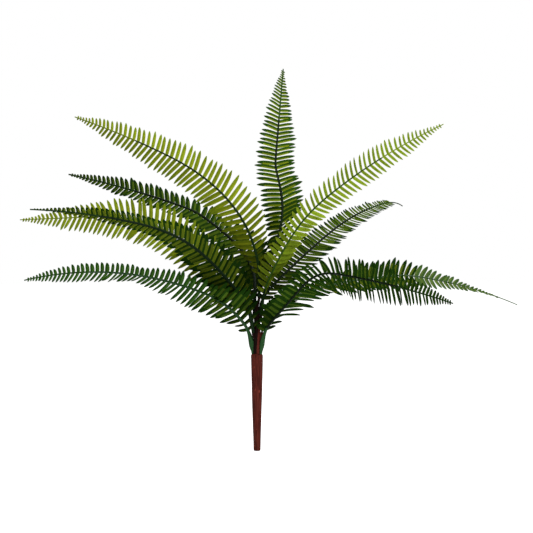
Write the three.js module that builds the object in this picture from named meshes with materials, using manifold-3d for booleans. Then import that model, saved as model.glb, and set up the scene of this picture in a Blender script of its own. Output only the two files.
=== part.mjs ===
// Artificial fern bush: arching fronds of one moulding, seated on pegs above a tapered brown stem.
// Millimetres and degrees, +Z up. The origin is the middle of the stem's flat foot.
import * as THREE from "three";
import { mergeVertices } from "three/addons/utils/BufferGeometryUtils.js";
import Module from "manifold-3d";

const { clamp, degToRad, lerp, smoothstep } = THREE.MathUtils;
const wasm = await Module();
wasm.setup();

// Stem, and the core of pegs that carries the upper fronds
const GAP = 0.3;
const STEM_HEIGHT = 126;
const FOOT_RADIUS = 4.4;
const COLLAR_RADIUS = 7.7;
const STEM_EDGE = 1.2;
const STEM_SWELL = 0.55;
const CORE_RADIUS = 2.8;
const CORE_TIP_RADIUS = 2.2;
const CORE_TOP = 190;
const PEG_RADIUS = 1.7;
const FAT_PEG_RADIUS = 2.7;
const PEG_DROP = 14;
const PEG_ELBOW = 6;
const STEM_SIDES = 24;
const PEG_SIDES = 8;
const PEG_STEPS = 5;

// Heights at which the fronds are seated: on the collar and on four tiers of pegs
const COLLAR_SEAT = STEM_HEIGHT + GAP;
const LOW_PEGS = 154;
const MID_PEGS = 168;
const HIGH_PEGS = 176;
const TOP_PEGS = 200;

// The frond moulding: a green sheath, a tapering rib and pairs of strap-shaped leaflets
const FROND_LENGTH = 380;
const SHEATH_RISE = 80;
const SHEATH_FROM = 0.03;
const SHEATH_TO = 0.13;
const SHEATH_WIDEST = 0.03;
const SHEATH_END = 0.09;
const RIB_ROOT = 1.6;
const RIB_TIP = 0.7;
const LEAF_FROM = 0.085;
const LEAF_TO = 0.97;
const LEAF_PAIRS = 29;
const LEAFLET_REACH = 37;
const LEAFLET_WIDTH = 7;
const LEAFLET_THICKNESS = 0.8;
const LEAFLET_FOOT = 0.5;
const LEAFLET_WAIST = 0.6;
const LEAFLET_CURL = 7;
const LEAFLET_SAG = 12;
const LEAF_ANGLE_LOW = 80;
const LEAF_ANGLE_TIP = 62;
const LEAF_SHORT_FOOT = 0.5;
const LEAF_SWELL = 0.08;
const LEAF_TAPER = 3.2;
const TURN_END = 0.55;
const BLADE_PLACES = [LEAF_FROM, 0.28, 0.55, 1];
const KINK_HALF = 0.05;
const RIB_STEPS = 160;
const REACH_TRIES = [1, 0.8, 0.6, 0.4];
const BARE = { 1: [], [-1]: [] };
const WELD = 1e-4;

// Greens and browns of the moulded plastic
const DARK_GREEN = 0x2f4a1e;
const MID_GREEN = 0x466526;
const LIGHT_GREEN = 0x7c8f2c;
const STEM_BROWN = 0x6e3c32;
const CORE_BROWN = 0x3c211d;
const PLASTIC_ROUGHNESS = 0.55;

// Each frond: the angle, radius and height of its seat; the compass heading, rise, bend, droop and
// turn of its rib; the roll of its blade and the hang and reach of its leaflets at four places
// from foot to tip; and, where the rib arches round a wide gap, the leaflet pairs on its lower
// piece.
// The fronds nearest the front come first and keep their leaflets where two fronds would meet.
const FRONDS = [
  {
    name: "frond_low_left", colour: DARK_GREEN, seat: [183, 5, COLLAR_SEAT], sheath: 3.7,
    heading: 198, rise: 54, bend: 23, at: 0.21, span: 0.23, droop: 42, turn: 22,
    roll: [101, 131, 138, 106], hang: [38, -12, 4, -14], reach: [0.72, 0.85, 0.47, 0.89], lowerPairs: 8,
  },
  {
    name: "frond_low_right", colour: MID_GREEN, seat: [-30, 5.6, COLLAR_SEAT], sheath: 3.7,
    heading: -31, rise: 46, bend: 46, at: 0.37, span: 0.22, droop: 13, turn: -19,
    roll: [13, 24, 75, 85], hang: [-25, 7, 8, 2], reach: [0.84, 0.82, 0.96, 1.06], lowerPairs: 8,
  },
  {
    name: "frond_upper_right", colour: LIGHT_GREEN, seat: [-24, 6, HIGH_PEGS], sheath: 2.6,
    heading: -55, rise: 58, bend: 11, at: 0.41, span: 0.29, droop: 27, turn: 20,
    roll: [-174, -144, -101, -118], hang: [45, 12, 10, -33], reach: [0.62, 0.5, 0.62, 1.06],
  },
  {
    name: "frond_upper_left", colour: LIGHT_GREEN, seat: [-45, 4, TOP_PEGS], sheath: 2.2, lift: 91,
    heading: 222, rise: 92, bend: 56, at: 0.27, span: 0.8, droop: 17, turn: -60,
    roll: [121, 103, 72, 95], hang: [53, 13, 21, 23], reach: [0.78, 0.89, 0.99, 1.02], lowerPairs: 9,
  },
  {
    name: "frond_mid_left", colour: MID_GREEN, seat: [226, 7, LOW_PEGS], sheath: 2.6,
    heading: 225, rise: 48, bend: 21, at: 0.45, span: 0.37, droop: 26, turn: -14,
    roll: [117, 121, 101, 147], hang: [11, 20, 33, 21], reach: [0.75, 0.91, 0.47, 0.47],
  },
  {
    name: "frond_top", colour: MID_GREEN, seat: [55, 4, TOP_PEGS], sheath: 2.2,
    heading: 33, rise: 56, bend: 0, at: 0.4, span: 0.6, droop: 1, turn: 80,
    kink: -30, kinkAt: 0.54,
    roll: [24, 31, 5, -47], hang: [-1, -2, 2, 4], reach: [0.6, 0.75, 0.89, 1.06],
  },
  {
    name: "frond_back_left", colour: DARK_GREEN, seat: [125, 6, HIGH_PEGS], sheath: 2.4,
    heading: 81, rise: 45, bend: 15, at: 0.52, span: 0.12, droop: 18, turn: 95,
    roll: [-142, -142, -142, -103], hang: [0, -1, -2, 16], reach: [0.9, 0.88, 0.82, 0.74],
  },
  {
    name: "frond_long_left", colour: LIGHT_GREEN, seat: [140, 7, LOW_PEGS], sheath: 2.6,
    heading: 202, rise: 48, bend: 50, at: 0.5, span: 0.57, droop: 0, turn: -32,
    roll: [74, 74, 74, 61], hang: [0, 0, -1, 11], reach: [0.92, 0.94, 1.05, 0.9], lowerPairs: 12,
  },
  {
    name: "frond_back_right", colour: DARK_GREEN, seat: [75, 6, MID_PEGS], sheath: 2.4,
    heading: 31, rise: 46, bend: 46, at: 1, span: 0.28, droop: 42, turn: 23,
    roll: [161, 161, 151, 151], hang: [2, 4, -3, -6], reach: [0.85, 0.76, 0.55, 0.78],
  },
  {
    name: "frond_long_right", colour: MID_GREEN, seat: [25, 7, LOW_PEGS], sheath: 2.6,
    peg: FAT_PEG_RADIUS, heading: 21, rise: 26, bend: 9, at: 0.59, span: 0.12, droop: 40, turn: -16,
    roll: [175, 165, 122, 179], hang: [2, 3, 1, -1], reach: [0.98, 1, 0.82, 0.5],
    lowerPairs: 10, leafTo: 0.92,
  },
];

function plastic(colour) {
  return new THREE.MeshStandardMaterial({ color: colour, roughness: PLASTIC_ROUGHNESS, metalness: 0 });
}

// A closed geometry as a solid for joining and for testing what meets what
function solidOf(geometry) {
  const bare = geometry.clone();
  bare.deleteAttribute("normal");
  bare.deleteAttribute("uv");
  const merged = mergeVertices(bare, WELD);
  const triVerts = new Uint32Array(merged.index.array);
  const vertProperties = merged.attributes.position.array;
  return new wasm.Manifold(new wasm.Mesh({ numProp: 3, vertProperties, triVerts }));
}

function geometryOf(solid) {
  const { vertProperties, triVerts } = solid.getMesh();
  const geometry = new THREE.BufferGeometry();
  geometry.setAttribute("position", new THREE.BufferAttribute(vertProperties, 3));
  geometry.setIndex(new THREE.BufferAttribute(triVerts, 1));
  return geometry;
}

function obstacle(owner, geometry) {
  const box = new THREE.Box3().setFromBufferAttribute(geometry.getAttribute("position"));
  return { owner, box, solid: solidOf(geometry) };
}

function meets(a, b) {
  return a.box.intersectsBox(b.box) && !a.solid.intersect(b.solid).isEmpty();
}

// Corner points gathered into quads and triangles that all face outwards
class Skin {
  corners = [];

  triangle(a, b, c) {
    for (const p of [a, b, c]) this.corners.push(p.x, p.y, p.z);
  }

  quad(a, b, c, d) {
    this.triangle(a, b, c);
    this.triangle(a, c, d);
  }

  geometry() {
    const geometry = new THREE.BufferGeometry();
    geometry.setAttribute("position", new THREE.Float32BufferAttribute(this.corners, 3));
    geometry.computeVertexNormals();
    return geometry;
  }
}

// A turned profile of radius and height pairs, stood up along Z
function turned(profile, sides) {
  const points = profile.map(([radius, height]) => new THREE.Vector2(radius, height));
  return new THREE.LatheGeometry(points, sides).rotateX(Math.PI / 2);
}

function stemGeometry() {
  return turned(
    [
      [0, 0],
      [FOOT_RADIUS - STEM_EDGE, 0],
      [FOOT_RADIUS, STEM_EDGE],
      [lerp(FOOT_RADIUS, COLLAR_RADIUS, STEM_SWELL), STEM_HEIGHT / 2],
      [COLLAR_RADIUS, STEM_HEIGHT - 2 * STEM_EDGE],
      [COLLAR_RADIUS - STEM_EDGE / 2, STEM_HEIGHT - STEM_EDGE / 2],
      [COLLAR_RADIUS - STEM_EDGE, STEM_HEIGHT],
      [0, STEM_HEIGHT],
    ],
    STEM_SIDES,
  );
}

function seatPoint({ seat: [angle, radius, height] }) {
  const a = degToRad(angle);
  return new THREE.Vector3(radius * Math.cos(a), radius * Math.sin(a), height);
}

// A round peg that leaves the core and stands up under a frond's root
function pegGeometry(frond) {
  const top = seatPoint(frond);
  const foot = new THREE.Vector3(0, 0, top.z - PEG_DROP);
  const elbow = new THREE.Vector3(top.x, top.y, top.z - PEG_ELBOW);
  const round = new THREE.Shape().absarc(0, 0, frond.peg ?? PEG_RADIUS, 0, 2 * Math.PI);
  return new THREE.ExtrudeGeometry(round, {
    steps: PEG_STEPS,
    curveSegments: PEG_SIDES,
    extrudePath: new THREE.QuadraticBezierCurve3(foot, elbow, top),
  });
}

function coreGeometry() {
  const stalk = turned(
    [
      [0, COLLAR_SEAT],
      [CORE_RADIUS, COLLAR_SEAT],
      [CORE_RADIUS, HIGH_PEGS - PEG_DROP],
      [CORE_TIP_RADIUS, CORE_TOP],
      [0, CORE_TOP + CORE_TIP_RADIUS],
    ],
    STEM_SIDES,
  );
  const pegged = FRONDS.filter(({ seat }) => seat[2] > COLLAR_SEAT);
  return geometryOf(pegged.reduce((core, frond) => core.add(solidOf(pegGeometry(frond))), solidOf(stalk)));
}

// The rib's slope above the level and its compass bearing, at a share s of its length
function slope(frond, s) {
  const bent = frond.bend * smoothstep(s, frond.at - frond.span / 2, frond.at + frond.span / 2);
  const free = frond.rise - bent - frond.droop * s;
  return lerp(frond.lift ?? SHEATH_RISE, free, smoothstep(s, SHEATH_FROM, SHEATH_TO));
}

function bearing(frond, s) {
  const swung = frond.heading + frond.turn * smoothstep(s, 0, TURN_END);
  if (!frond.kink) return swung;
  return swung + frond.kink * smoothstep(s, frond.kinkAt - KINK_HALF, frond.kinkAt + KINK_HALF);
}

function direction(frond, s) {
  const e = degToRad(slope(frond, s));
  const h = degToRad(bearing(frond, s));
  return new THREE.Vector3(Math.cos(e) * Math.cos(h), Math.cos(e) * Math.sin(h), Math.sin(e));
}

// The rib's course, added up from short straight steps
function ribCourse(frond) {
  const root = seatPoint(frond);
  root.z += GAP;
  const points = [root];
  for (let i = 0; i < RIB_STEPS; i++) {
    const step = direction(frond, (i + 0.5) / RIB_STEPS).multiplyScalar(FROND_LENGTH / RIB_STEPS);
    points.push(points[i].clone().add(step));
  }
  return points;
}

function pointAt(course, s) {
  const place = Math.min(s, 1) * RIB_STEPS;
  const i = Math.min(Math.floor(place), RIB_STEPS - 1);
  return course[i].clone().lerp(course[i + 1], place - i);
}

// A value of the blade at s, from its values at four places along the rib
function bladeValue(values, s) {
  const place = clamp(s, LEAF_FROM, 1);
  const next = Math.max(1, BLADE_PLACES.findIndex((stop) => place <= stop));
  const [from, to] = [BLADE_PLACES[next - 1], BLADE_PLACES[next]];
  return lerp(values[next - 1], values[next], (place - from) / (to - from));
}

// Axes of the blade at s: along the rib, across it to the right, and up out of its upper face.
// The root stands square on its seat.
function axesAt(frond, s) {
  const h = degToRad(bearing(frond, s));
  const along = s > 0 ? direction(frond, s) : new THREE.Vector3(0, 0, 1);
  const level = new THREE.Vector3(Math.sin(h), -Math.cos(h), 0);
  const raised = level.clone().cross(along);
  const square = 90 * Math.round(frond.roll[0] / 90);
  const roll = degToRad(lerp(square, bladeValue(frond.roll, s), smoothstep(s, 0, SHEATH_END)));
  const across = level.clone().applyAxisAngle(along, -roll);
  const up = raised.clone().applyAxisAngle(along, -roll);
  return { along, across, up };
}

function ribRadius(frond, s) {
  const rib = lerp(RIB_ROOT, RIB_TIP, s);
  const swell = smoothstep(s, 0, SHEATH_WIDEST) * (1 - smoothstep(s, SHEATH_WIDEST, SHEATH_END));
  return lerp(rib, frond.sheath, swell);
}

// Four corners of the rib's section at s, in order round it: top right, top left, bottom left,
// bottom right. spare makes the section fatter for the test of what meets what.
function ribSection(frond, course, s, spare = 0) {
  const { across, up } = axesAt(frond, s);
  const r = ribRadius(frond, s) + spare;
  const corner = (x, y) => pointAt(course, s).addScaledVector(across, x * r).addScaledVector(up, y * r);
  return [corner(1, 1), corner(-1, 1), corner(-1, -1), corner(1, -1)];
}

function leafShare(s) {
  const u = (s - LEAF_FROM) / (1 - LEAF_FROM);
  return (1 - u ** LEAF_TAPER) * lerp(LEAF_SHORT_FOOT, 1, smoothstep(u, 0, LEAF_SWELL));
}

// Where each pair of leaflets starts and ends on the rib
function pairStations(frond) {
  const end = frond.leafTo ?? LEAF_TO;
  const pitch = (end - LEAF_FROM) / LEAF_PAIRS;
  return Array.from({ length: LEAF_PAIRS }, (_, i) => {
    const start = LEAF_FROM + i * pitch;
    const reach = (LEAFLET_REACH * leafShare(start)) / FROND_LENGTH;
    return { start, end: start + LEAFLET_FOOT * Math.min(pitch, reach) };
  });
}

// The waist and tip of one leaflet. side is 1 on the right of the rib and -1 on the left.
function leafletForm(frond, course, station, side, reach, spare = 0) {
  const s = (station.start + station.end) / 2;
  const { along, across, up } = axesAt(frond, s);
  const u = (s - LEAF_FROM) / (1 - LEAF_FROM);
  const angle = lerp(LEAF_ANGLE_LOW, LEAF_ANGLE_TIP, u);
  const heading = (turn, dip) => {
    const a = degToRad(turn);
    const d = degToRad(dip);
    return along.clone().multiplyScalar(Math.cos(a))
      .addScaledVector(across, side * Math.sin(a) * Math.cos(d))
      .addScaledVector(up, -Math.sin(a) * Math.sin(d));
  };
  const hang = bladeValue(frond.hang, s);
  const out = heading(angle, hang);
  const outer = heading(angle - LEAFLET_CURL, hang + LEAFLET_SAG);
  const length = reach * LEAFLET_REACH * bladeValue(frond.reach, s) * leafShare(s);
  const width = along.clone().addScaledVector(out, -along.dot(out)).normalize();
  const thick = out.clone().cross(width).multiplyScalar(side);
  const half = Math.min(LEAFLET_WIDTH, length * LEAFLET_FOOT) / 2 + spare;
  const deep = LEAFLET_THICKNESS / 2 + spare;
  const waist = pointAt(course, s).addScaledVector(out, LEAFLET_WAIST * length);
  const tip = waist.clone().addScaledVector(outer, (1 - LEAFLET_WAIST) * length + spare);
  const corner = (x, y) => waist.clone().addScaledVector(width, x * half).addScaledVector(thick, y * deep);
  const low = [corner(-1, -1), corner(1, -1)];
  const high = [corner(1, 1), corner(-1, 1)];
  return { waist: side > 0 ? [...low, ...high] : [high[1], high[0], low[1], low[0]], tip };
}

// Four corners of the rib's flank that a leaflet grows from, in the order of the leaflet's waist
function flank(near, far, side) {
  return side > 0 ? [near[3], far[3], far[0], near[0]] : [near[1], far[1], far[2], near[2]];
}

function growLeaflet(skin, foot, { waist, tip }) {
  for (let i = 0; i < 4; i++) {
    const j = (i + 1) % 4;
    skin.quad(foot[i], foot[j], waist[j], waist[i]);
    skin.triangle(waist[i], waist[j], tip);
  }
}

// A fatter copy of one leaflet, to test whether it meets another leaflet or rib, the core or the stem
function leafletGuard(frond, course, station, side, reach) {
  const near = ribSection(frond, course, station.start, GAP);
  const far = ribSection(frond, course, station.end, GAP);
  const foot = flank(near, far, side);
  const skin = new Skin();
  growLeaflet(skin, foot, leafletForm(frond, course, station, side, reach, GAP));
  skin.quad(foot[3], foot[2], foot[1], foot[0]);
  return obstacle("leaflet", skin.geometry());
}

// The share of its full reach that each leaflet keeps, so that leaflets and ribs pass each other clear
function fitLeaflets(frond, course, stations, obstacles) {
  const kept = { 1: [], [-1]: [] };
  for (const station of stations) {
    for (const side of [1, -1]) {
      const others = obstacles.filter((o) => o.owner !== frond.name);
      const guards = REACH_TRIES.map((reach) => leafletGuard(frond, course, station, side, reach));
      const fit = guards.findIndex((guard) => !others.some((other) => meets(guard, other)));
      kept[side].push(fit < 0 ? 0 : REACH_TRIES[fit]);
      if (fit >= 0) obstacles.push(guards[fit]);
    }
  }
  return kept;
}

// One closed piece of a frond between two shares of its length
function frondGeometry(frond, course, stations, kept, from, to, spare = 0) {
  const section = (s) => ribSection(frond, course, s, spare);
  const skin = new Skin();
  const bare = [SHEATH_WIDEST / 2, SHEATH_WIDEST, (SHEATH_WIDEST + SHEATH_END) / 2, SHEATH_END];
  const stops = [from, ...bare.filter((s) => s > from && s < to)];
  for (const { start, end } of stations) {
    if (start > from && end < to) stops.push(start, end);
  }
  stops.push(to);
  const rings = stops.map(section);
  skin.quad(...rings[0]);
  for (let i = 0; i + 1 < stops.length; i++) {
    const [near, far] = [rings[i], rings[i + 1]];
    skin.quad(near[0], far[0], far[1], near[1]);
    skin.quad(near[2], far[2], far[3], near[3]);
    const pair = stations.findIndex(({ start }) => start === stops[i]);
    for (const side of [1, -1]) {
      const foot = flank(near, far, side);
      const reach = pair < 0 ? 0 : kept[side][pair];
      if (reach) growLeaflet(skin, foot, leafletForm(frond, course, stations[pair], side, reach));
      else skin.quad(...foot);
    }
  }
  skin.quad(...rings.at(-1).reverse());
  return skin.geometry();
}

function addPiece(group, name, geometry, colour) {
  const mesh = new THREE.Mesh(geometry, plastic(colour));
  mesh.name = name;
  group.add(mesh);
}

// A frond is one piece, or a base and a tip that meet at its bend
function addFrond(group, frond, course, stations, kept) {
  const build = (from, to) => frondGeometry(frond, course, stations, kept, from, to);
  if (!frond.lowerPairs) {
    addPiece(group, frond.name, build(0, 1), frond.colour);
    return;
  }
  const cut = (stations[frond.lowerPairs - 1].end + stations[frond.lowerPairs].start) / 2;
  const half = GAP / 2 / FROND_LENGTH;
  addPiece(group, frond.name + "_base", build(0, cut - half), frond.colour);
  addPiece(group, frond.name + "_tip", build(cut + half, 1), frond.colour);
}

function fernBush() {
  const bush = new THREE.Group();
  const crown = new THREE.Group();
  bush.add(crown);
  const stem = stemGeometry();
  const core = coreGeometry();
  addPiece(bush, "stem", stem, STEM_BROWN);
  addPiece(bush, "core", core, CORE_BROWN);
  const obstacles = [obstacle("stem", stem), obstacle("core", core)];
  const courses = FRONDS.map(ribCourse);
  const stations = FRONDS.map(pairStations);
  FRONDS.forEach((frond, i) => {
    const rib = frondGeometry(frond, courses[i], stations[i], BARE, 0, 1, GAP);
    obstacles.push(obstacle(frond.name, rib));
  });
  FRONDS.forEach((frond, i) => {
    const kept = fitLeaflets(frond, courses[i], stations[i], obstacles);
    addFrond(crown, frond, courses[i], stations[i], kept);
  });
  return bush;
}

export default fernBush();
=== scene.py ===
"""Looks of an artificial fern bush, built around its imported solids.

The stem and the pegged core are modelled, and every frond gets its ribs and its comb of leaflets.
Metres, +Z up, with the origin in the middle of the stem's flat foot.
"""

import math

import bpy
import numpy as np
from bpy.props import FloatProperty, FloatVectorProperty, IntProperty, PointerProperty
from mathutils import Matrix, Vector, noise


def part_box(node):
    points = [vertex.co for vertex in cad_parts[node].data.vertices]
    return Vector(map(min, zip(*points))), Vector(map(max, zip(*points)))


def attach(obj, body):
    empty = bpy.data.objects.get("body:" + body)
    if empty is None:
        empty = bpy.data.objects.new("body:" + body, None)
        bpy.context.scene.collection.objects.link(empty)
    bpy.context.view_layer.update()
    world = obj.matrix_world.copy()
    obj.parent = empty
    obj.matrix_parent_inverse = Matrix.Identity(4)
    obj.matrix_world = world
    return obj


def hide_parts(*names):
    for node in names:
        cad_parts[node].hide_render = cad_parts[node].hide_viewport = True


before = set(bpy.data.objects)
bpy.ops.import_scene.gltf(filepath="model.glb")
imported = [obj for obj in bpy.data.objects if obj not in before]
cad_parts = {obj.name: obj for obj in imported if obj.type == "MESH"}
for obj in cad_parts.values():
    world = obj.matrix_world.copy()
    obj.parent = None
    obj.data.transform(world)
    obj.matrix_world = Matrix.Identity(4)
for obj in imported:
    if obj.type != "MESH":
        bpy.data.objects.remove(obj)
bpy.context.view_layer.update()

bl_info = {
    "name": "Artificial fern bush",
    "version": (1, 0, 0),
    "blender": (4, 5, 0),
    "location": "View3D > Sidebar > Fern",
    "description": "Models the stem, core, ribs and leaflets of an artificial fern bush",
    "category": "Object",
}

BODY = "root"
MM = 0.001
SEED = 11

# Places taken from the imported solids: the top of the stem and the seat of the core just above it
STEM_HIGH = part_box("stem")[1]
COLLAR_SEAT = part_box("core")[0].z
GAP = COLLAR_SEAT - STEM_HIGH.z

# Stem and core: the fineness of their meshes, the steps of the rounded rim, the streaks' grain round
# the stem and up it, and the lean and top of the paler brown on the core
STEM_SIDES = 64
STEM_RINGS = 90
RIM_TURNS = (30, 60, 90)
FINE_STREAKS = (5, 18)
BROAD_STREAKS = (1.5, 30)
BROAD_SHARE = 0.5
STREAKS_OUT = 0.5
CORE_VOXEL = 0.45 * MM
PEG_PAINT_TOP = 172 * MM
PEG_PAINT_LEAN = 0.09

# Pegs: the heights of their four tiers above the ground, their two radii, how far below its top a
# peg leaves the core and bends, and the fineness of its mesh
LOW_PEGS = 154 * MM
MID_PEGS = 168 * MM
HIGH_PEGS = 176 * MM
TOP_PEGS = 200 * MM
PEG_RADIUS = 1.7 * MM
FAT_PEG_RADIUS = 2.7 * MM
PEG_DROP = 14 * MM
PEG_ELBOW = 6 * MM
PEG_SIDES = 5

# Rule of a frond: the slope of its sheath, the shares of its length at which its sheath, turn, kink
# and leaflets start and end, and how its leaflets shorten towards its foot and tip
QUARTER_TURN = 90
SHEATH_RISE = 80
SHEATH_FROM = 0.03
SHEATH_TO = 0.13
SHEATH_WIDEST = 0.03
SHEATH_END = 0.09
TURN_END = 0.55
KINK_HALF = 0.05
RIB_STEPS = 160
RIB_TIP_FROM = 0.75
LEAF_FROM = 0.085
LEAF_TO = 0.985
BLADE_PLACES = (LEAF_FROM, 0.28, 0.55, 1)
LEAF_SHORT_FOOT = 0.5
LEAF_SWELL = 0.08
LEAF_TAPER = 3.2

# Ribs: the sides and rings of the tube, its depth beside its width, and the gaps that its foot sinks
RIB_SIDES = 8
RIB_RINGS = 96
RIB_DEPTH = 0.8
RIB_SINK = 3

# Leaflets: the stations along one, its outline, where it starts to bend, its least share of the full
# reach, how much it narrows as it shortens, and the part of a frond that counts as its foot
LEAFLET_MAP = "leaflet"
LEAFLET_STOPS = np.array([0, 0.1, 0.25, 0.45, 0.65, 0.82, 0.93, 1])
LEAFLET_STEPS = len(LEAFLET_STOPS) - 1
LEAFLET_FOOT = 0.8
LEAFLET_WIDEST = 0.15
LEAFLET_BLUNTNESS = 5.0
LEAFLET_POINT = 0.8
LEAFLET_BEND_FROM = 0.15
LENGTH_SPREAD = 0.04
TIP_SHARE = 0.1
NARROWING = 0.4
FOOT_END = 0.45

# Finishes: the shades of a leaf colour, painted shade in the heart that lightens outwards, and where
# that painted shade ends; the stations of a leaflet's streak, a painted highlight on its inner half; its
# midrib and veins, the streaks and flecks of the brown, and its gloss
LEAF_SHADES = (0.4, 0.6, 0.8, 1.0, 1.2)
LIGHT_STEPS = len(LEAF_SHADES) - 2
PAINTED_HEART_SHADE_END = 0.5
PAINTED_HIGHLIGHT_STEPS = 4
MIDRIB_SHADE = (0.8, 0.8, 0.8, 1)
MIDRIB_EDGES = (0.02, 0.14)
VEIN_LEAN = 0.12
STREAK_EDGES = (0.35, 0.7)
FLECK_EDGES = (0.7, 0.76)
GLOSS_SPREAD = 0.25

# Studio lamps: the name, place and side of each, and the setting that holds its power
LAMPS = (
    ("Key light", (1.3, -1.6, 1.7), 1.2, "key_power"),
    ("Fill light", (-1.6, -1.4, 1.0), 1.4, "fill_power"),
    ("Top light", (0.1, 0.5, 2.0), 1.4, "top_power"),
)

# Each frond: its nodes and colours; the angle, radius and height of its seat; the compass heading,
# rise, bend, droop and turn of its rib; the roll of its blade and the hang and reach of its
# leaflets at four places from foot to tip; the width of its leaflets at these places and of its
# rib; and, where they differ, the lift of its sheath, a kink, the radius of its peg, the tilt of the
# leaflets on the right and on the left of the rib, their added width, length and hang near the foot
# (wider, longer, nods), where the painted shade of the heart ends, where the leaflets end, and the
# colours of the outer part and its start
FRONDS = [
    dict(
        name="low_left", nodes=("frond_low_left_base", "frond_low_left_tip"), tone="shade",
        outer=("deep", 0.3),
        slot="leaf_dark", seat=(183, 5 * MM, COLLAR_SEAT), sheath=3.7 * MM,
        heading=198, rise=54, bend=23, at=0.21, span=0.23, droop=42, turn=22,
        roll=(101, 131, 138, 106), hang=(38, -12, 4, -14), reach=(0.72, 0.85, 0.47, 0.89),
        width=(1, 1.18, 1.18, 1.05), rib=1.2, tilts=(10, 8), painted_shade_end=0.25,
        longer=(0.8, 0), nods=(-55, 0),
    ),
    dict(
        name="low_right", nodes=("frond_low_right_base", "frond_low_right_tip"), tone="shade",
        slot="leaf_mid", seat=(-30, 5.6 * MM, COLLAR_SEAT), sheath=3.7 * MM,
        heading=-31, rise=46, bend=46, at=0.37, span=0.22, droop=13, turn=-19,
        roll=(13, 24, 75, 85), hang=(-25, 7, 8, 2), reach=(0.84, 0.82, 0.96, 1.06),
        width=(1.45, 1.05, 0.95, 1.1), rib=1.2, tilts=(0, -9), painted_shade_end=0.25,
        wider=(0.3, 0), longer=(0, 0.4),
    ),
    dict(
        name="upper_right", nodes=("frond_upper_right",), tone="lime",
        slot="leaf_light", seat=(-24, 6 * MM, HIGH_PEGS), sheath=2.6 * MM,
        heading=-55, rise=58, bend=11, at=0.41, span=0.29, droop=27, turn=20,
        roll=(-174, -144, -101, -118), hang=(45, 12, 10, -33), reach=(0.62, 0.5, 0.62, 1.06),
        width=(1.15, 1.1, 0.78, 0.74), rib=0.85, tilts=(0, 12), wider=(0.6, 0),
    ),
    dict(
        name="upper_left", nodes=("frond_upper_left_base", "frond_upper_left_tip"), tone="olive",
        slot="leaf_light", seat=(-45, 4 * MM, TOP_PEGS), sheath=2.2 * MM, lift=91,
        heading=222, rise=92, bend=56, at=0.27, span=0.8, droop=17, turn=-60,
        roll=(121, 103, 72, 95), hang=(53, 13, 21, 23), reach=(0.78, 0.89, 0.99, 1.02),
        width=(1.1, 1, 0.9, 0.88), rib=1, tilts=(25, 0), painted_shade_end=0.38,
    ),
    dict(
        name="mid_left", nodes=("frond_mid_left",), tone="moss",
        slot="leaf_mid", seat=(226, 7 * MM, LOW_PEGS), sheath=2.6 * MM,
        heading=225, rise=48, bend=21, at=0.45, span=0.37, droop=26, turn=-14,
        roll=(117, 121, 101, 147), hang=(11, 20, 33, 21), reach=(0.75, 0.91, 0.47, 0.47),
        width=(1.3, 1.3, 1.25, 1.1), rib=1.3,
    ),
    dict(
        name="top", nodes=("frond_top",), tone="striped",
        slot="leaf_mid", seat=(55, 4 * MM, TOP_PEGS), sheath=2.2 * MM,
        heading=33, rise=56, bend=0, at=0.4, span=0.6, droop=1, turn=80,
        kink=-30, kink_at=0.54,
        roll=(24, 31, 5, -47), hang=(-1, -2, 2, 4), reach=(0.75, 0.85, 0.89, 1.06),
        width=(1.4, 1.25, 1.08, 1.05), rib=1.3,
    ),
    dict(
        name="back_left", nodes=("frond_back_left",), tone="dark",
        slot="leaf_dark", seat=(125, 6 * MM, HIGH_PEGS), sheath=2.4 * MM,
        heading=81, rise=45, bend=15, at=0.52, span=0.12, droop=18, turn=95,
        roll=(-142, -142, -142, -103), hang=(0, -1, -2, 16), reach=(0.9, 0.88, 0.82, 0.74),
        width=(1.8, 1.3, 1.2, 1.15), rib=1.5,
    ),
    dict(
        name="long_left", nodes=("frond_long_left_base", "frond_long_left_tip"), tone="olive",
        slot="leaf_light", seat=(140, 7 * MM, LOW_PEGS), sheath=2.6 * MM,
        heading=202, rise=48, bend=50, at=0.5, span=0.57, droop=0, turn=-32,
        roll=(74, 74, 74, 61), hang=(0, 0, -1, 11), reach=(0.92, 0.94, 1.05, 0.9),
        width=(1.1, 1, 0.92, 0.92), rib=1,
    ),
    dict(
        name="back_right", nodes=("frond_back_right",), tone="dark",
        slot="leaf_dark", seat=(75, 6 * MM, MID_PEGS), sheath=2.4 * MM,
        heading=31, rise=46, bend=46, at=1, span=0.28, droop=42, turn=23,
        roll=(161, 161, 151, 151), hang=(2, 4, -3, -6), reach=(0.85, 0.85, 0.66, 0.78),
        width=(1.5, 1.25, 1.2, 1.05), rib=1.25, tilts=(9, 7), leaf_to=0.91,
    ),
    dict(
        name="long_right", nodes=("frond_long_right_base", "frond_long_right_tip"), tone="moss",
        outer=("grey", 0.62), peg=FAT_PEG_RADIUS,
        slot="leaf_mid", seat=(25, 7 * MM, LOW_PEGS), sheath=2.6 * MM,
        heading=21, rise=26, bend=9, at=0.59, span=0.12, droop=40, turn=-16,
        roll=(175, 165, 122, 179), hang=(2, 3, 1, -1), reach=(0.98, 1, 0.82, 0.5), leaf_to=0.92,
        width=(1.1, 1.15, 1.1, 1), rib=1,
    ),
]

TONES = ("deep", "shade", "lime", "olive", "striped", "moss", "dark", "grey")


def smoothstep(value, low, high):
    """Eases from 0 at low to 1 at high."""
    share = np.clip((value - low) / (high - low), 0, 1)
    return share * share * (3 - 2 * share)


def blend_to(start, end, share):
    """The value a share of the way from start to end."""
    return start + (end - start) * share


def colour(name, description, default):
    """A colour property."""
    return FloatVectorProperty(name=name, description=description, default=default, subtype="COLOR")


def metres(name, description, default):
    """A length property."""
    return FloatProperty(name=name, description=description, default=default, unit="LENGTH")


def degrees(name, description, default):
    """An angle property, from its default in degrees."""
    angle = math.radians(default)
    return FloatProperty(name=name, description=description, default=angle, subtype="ANGLE")


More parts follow.
